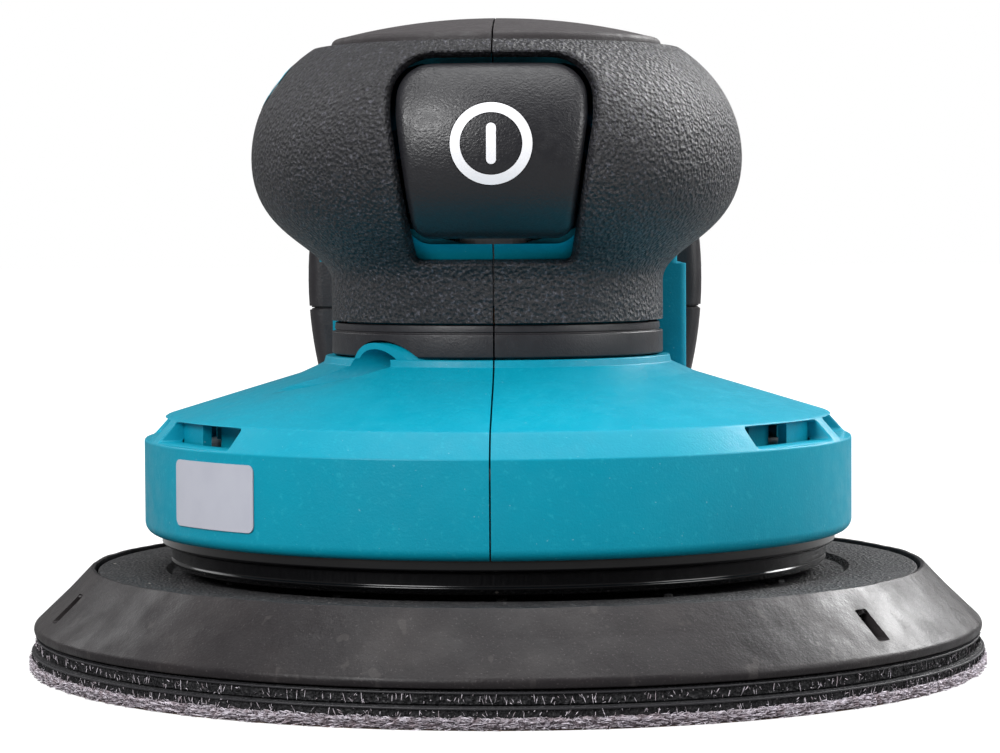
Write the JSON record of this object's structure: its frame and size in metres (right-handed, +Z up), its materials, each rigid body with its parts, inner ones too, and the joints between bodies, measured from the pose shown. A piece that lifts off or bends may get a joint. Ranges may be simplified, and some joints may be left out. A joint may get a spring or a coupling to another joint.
{
  "type": "orbital sander",
  "caption": "Palm-grip cordless random orbital sander with a round pad, windowed skirt and a battery under a rear hood.",
  "frame": {"origin": "where the motor's axis meets the plane that the sanding disc works on", "axes": "+Z up from the work along the motor's axis, +Y towards the battery, +X to the right seen from the front, where the power button is"},
  "size_m": [0.1494, 0.246, 0.1005],
  "materials": {
    "teal_plastic": "satin moulded plastic, fine texture",
    "black_rubber": "soft textured elastomer",
    "black_plastic": "fine textured hard plastic",
    "pad_rubber": "dusty foam rubber",
    "hook_black": "hook tape",
    "loop_grey": "looped pile on sanding paper",
    "white_plastic": "smooth white plastic",
    "label_silver": "satin label film",
    "steel": "ground steel",
    "aluminium": "as cast",
    "copper": "lacquered copper wire",
    "board_green": "solder mask",
    "battery_black": "fine textured hard plastic",
    "latch_red": "satin moulded plastic",
    "cell_blue": "sleeved steel can"
  },
  "bodies": {
    "housing": {"housing_left": "teal_plastic", "housing_right": "teal_plastic", "housing_screw_front": "steel", "housing_screw_web": "steel", "housing_screw_arm": "steel", "grip_left": "black_rubber", "grip_right": "black_rubber", "side_badge": "black_plastic", "top_cover_left": "black_plastic", "top_cover_right": "black_plastic", "neck_band_left": "black_plastic", "neck_band_right": "black_plastic", "skirt_label": "label_silver", "baffle_ring": "black_rubber", "stator_core": "steel", "stator_winding_top": "copper", "stator_winding_bottom": "copper", "lower_bearing_outer": "steel", "upper_bearing_outer": "steel", "upper_bearing_holder": "black_rubber", "bearing_box": "aluminium", "main_switch": "black_plastic", "speed_board": "board_green", "controller": "aluminium", "terminal_block": "black_plastic"},
    "spindle": {"motor_shaft": "steel", "rotor_magnets": "steel", "cooling_fan": "black_plastic", "counterweight": "steel", "lower_bearing_inner": "steel", "upper_bearing_inner": "steel", "pad_bearing_outer": "steel"},
    "pad": {"pad_bearing_inner": "steel", "pad_hub": "aluminium", "backing_plate": "black_plastic", "pad_screw_1": "steel", "pad_screw_2": "steel", "pad_screw_3": "steel", "pad_cushion": "pad_rubber", "hook_facing": "hook_black", "interface_disc": "hook_black", "sanding_disc": "loop_grey"},
    "button": {"power_button": "black_plastic", "power_mark_ring": "white_plastic", "power_mark_bar": "white_plastic"},
    "plunger": {"switch_plunger": "white_plastic"},
    "speed_key": {"speed_button": "black_plastic"},
    "battery": {"battery_case_bottom": "battery_black", "battery_case_top": "battery_black", "battery_cell_1": "cell_blue", "battery_cell_2": "cell_blue", "battery_cell_3": "cell_blue", "battery_cell_4": "cell_blue", "battery_cell_5": "cell_blue", "battery_board": "board_green", "latch_spring": "steel"},
    "latch": {"battery_latch": "latch_red"},
    "gauge_key": {"gauge_button": "white_plastic"}
  },
  "joints": [
    {"name": "spindle_spin", "type": "hinge", "parent": "housing", "child": "spindle", "pos_m": [0, 0, 0.04], "axis": [0, 0, 1], "continuous": true},
    {"name": "pad_spin", "type": "hinge", "parent": "spindle", "child": "pad", "pos_m": [0.0014, 0, 0.022], "axis": [0, 0, 1], "continuous": true},
    {"name": "power_button_press", "type": "hinge", "parent": "housing", "child": "button", "pos_m": [0, -0.0315, 0.0905], "axis": [1, 0, 0], "range_deg": [0, 4.8], "stiffness_Nm_per_rad": 0.6, "springref_deg": -3.44},
    {"name": "switch_plunger_press", "type": "slide", "parent": "housing", "child": "plunger", "axis": [0, 1, 0], "range_m": [0, 0.0018]},
    {"name": "speed_button_press", "type": "slide", "parent": "housing", "child": "speed_key", "axis": [0, 0, -1], "range_m": [0, 0.0008], "stiffness_N_per_m": 1500, "springref_m": -0.0008},
    {"name": "battery_slide", "type": "slide", "parent": "housing", "child": "battery", "axis": [0, 1, 0], "range_m": [0, 0.12]},
    {"name": "battery_latch_press", "type": "slide", "parent": "battery", "child": "latch", "axis": [0, 0, -1], "range_m": [0, 0.004], "stiffness_N_per_m": 1500, "springref_m": -0.002, "deforming": ["latch_spring"]},
    {"name": "gauge_button_press", "type": "slide", "parent": "battery", "child": "gauge_key", "axis": [0, -1, 0], "range_m": [0, 0.0006], "stiffness_N_per_m": 1500, "springref_m": -0.0006}
  ],
  "couplings": [
    {"joint": "switch_plunger_press", "follows": "power_button_press", "m_per_rad": 0.0175}
  ]
}
